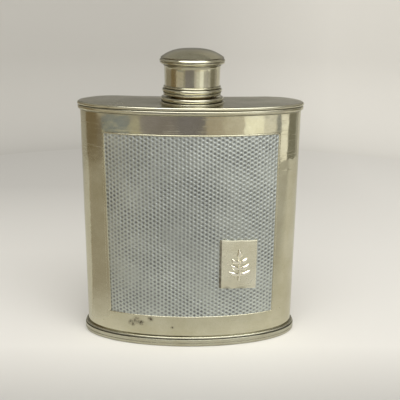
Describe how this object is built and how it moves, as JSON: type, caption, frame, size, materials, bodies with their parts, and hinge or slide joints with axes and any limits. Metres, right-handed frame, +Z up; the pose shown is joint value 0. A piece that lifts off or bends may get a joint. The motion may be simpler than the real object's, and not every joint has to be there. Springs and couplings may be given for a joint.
{
  "type": "hip flask",
  "caption": "Pocket hip flask with a convex front, hollow back, textured front panel, stepped mouldings and a domed screw cap on a threaded neck.",
  "frame": {"origin": "middle of the underside of the base plate, on the table", "axes": "+Z up along the flask and the neck, -Y out of the convex front with the textured panel, +X to the right seen from the front"},
  "size_m": [0.1008, 0.0376, 0.1326],
  "materials": {
    "polished_pewter": "worn polish with fine scratches and a warm patina",
    "textured_pewter": "matt, pressed with a close honeycomb of small dimples",
    "thread_brass": "dull turned brass",
    "cork": "matt pressed cork"
  },
  "bodies": {
    "flask": {"wall_front": "polished_pewter", "wall_back": "polished_pewter", "front_panel": "textured_pewter", "cartouche_plate": "polished_pewter", "sprig_ornament": "polished_pewter", "top_plate": "polished_pewter", "top_bead": "polished_pewter", "base_plate": "polished_pewter", "base_band": "polished_pewter", "base_bead": "polished_pewter", "neck_tube": "thread_brass", "neck_collar": "polished_pewter"},
    "seal": {"cork_seal": "cork"},
    "cap": {"cap_band": "polished_pewter", "cap_foot_ring": "polished_pewter", "cap_rim": "polished_pewter", "cap_dome": "polished_pewter", "cap_inner_disc": "thread_brass", "cap_thread_bush": "thread_brass"}
  },
  "joints": [
    {"name": "cap_rise", "type": "slide", "parent": "flask", "child": "seal", "axis": [0, 0, 1], "range_m": [0, 0.0135]},
    {"name": "cap_turn", "type": "hinge", "parent": "seal", "child": "cap", "pos_m": [0.0005, 0, 0.1097], "axis": [0, 0, 1], "range_deg": [0, 1620]}
  ],
  "couplings": [
    {"joint": "cap_rise", "follows": "cap_turn", "m_per_rad": 0.00047746}
  ]
}
